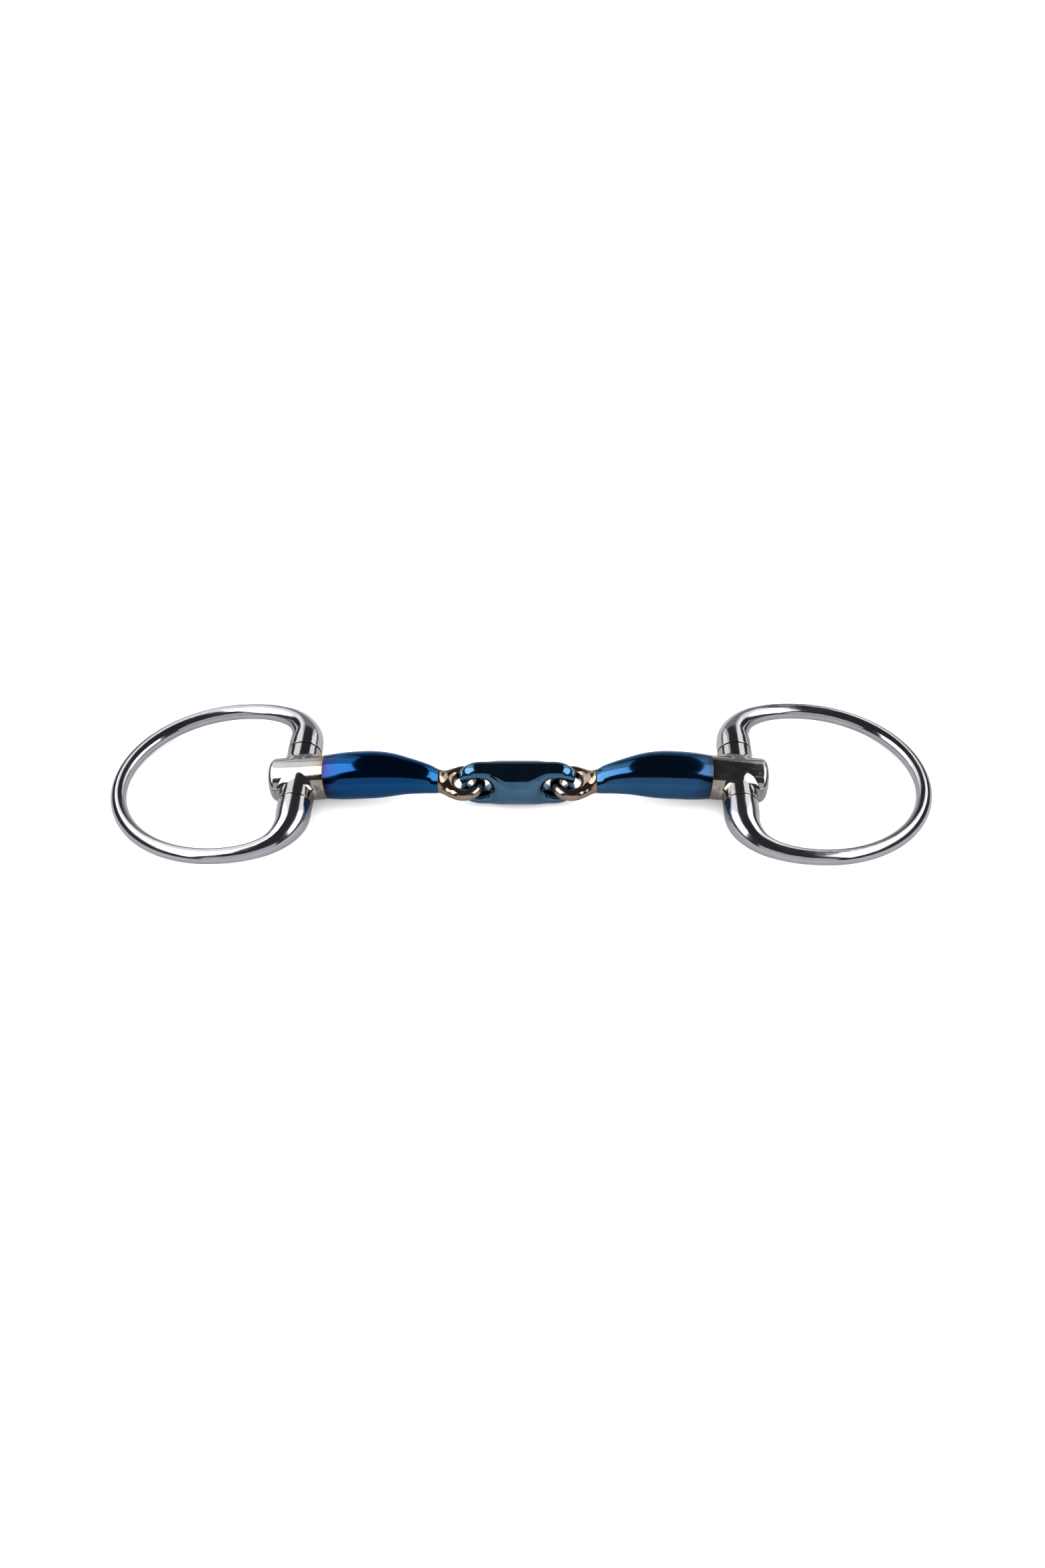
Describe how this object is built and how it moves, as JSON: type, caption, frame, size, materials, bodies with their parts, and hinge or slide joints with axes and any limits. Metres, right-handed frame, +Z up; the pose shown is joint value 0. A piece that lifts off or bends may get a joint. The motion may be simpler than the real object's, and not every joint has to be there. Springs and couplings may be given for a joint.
{
  "type": "snaffle bit",
  "caption": "Eggbutt snaffle bit: oval rings turn on barrel pivots, bowed blued cannons hook through eyes onto an oval centre link.",
  "frame": {"origin": "on the table under the middle of the whole bit as it lies flat", "axes": "+X along the mouthpiece to the right ring, +Y along the ring pivots away from the front, +Z up"},
  "size_m": [0.2764, 0.0716, 0.0193],
  "materials": {
    "polished_steel": "mirror polished, fine scratches",
    "head_steel": "polished, straw heat tint next to the cannon",
    "pin_steel": "turned",
    "blued_iron": "heat blued and polished, purple at the cheek end",
    "warm_nickel": "polished, warm tint",
    "blued_link": "heat blued and polished, darker than the cannons"
  },
  "bodies": {
    "centre_link": {"centre_link": "blued_link"},
    "left_arm": {"left_t_head": "head_steel", "left_cannon": "blued_iron", "left_eye": "warm_nickel"},
    "left_cheek_ring": {"left_ring": "polished_steel", "left_pivot_pin": "pin_steel"},
    "right_arm": {"right_t_head": "head_steel", "right_cannon": "blued_iron", "right_eye": "warm_nickel"},
    "right_cheek_ring": {"right_ring": "polished_steel", "right_pivot_pin": "pin_steel"}
  },
  "joints": [
    {"name": "left_arm_fold", "type": "hinge", "parent": "centre_link", "child": "left_arm", "pos_m": [-0.018, -0.00279, 0.0081], "axis": [0, 0, 1], "range_deg": [-65, 65]},
    {"name": "right_arm_fold", "type": "hinge", "parent": "centre_link", "child": "right_arm", "pos_m": [0.018, -0.00279, 0.0081], "axis": [0, 0, -1], "range_deg": [-65, 65]},
    {"name": "left_ring_swing", "type": "hinge", "parent": "left_arm", "child": "left_cheek_ring", "pos_m": [-0.07327, -0.00086, 0.0082], "axis": [0.0349, 0.9994, 0], "range_deg": [-160, 170]},
    {"name": "right_ring_swing", "type": "hinge", "parent": "right_arm", "child": "right_cheek_ring", "pos_m": [0.07327, -0.00086, 0.0082], "axis": [-0.0349, 0.9994, 0], "range_deg": [-170, 160]}
  ]
}
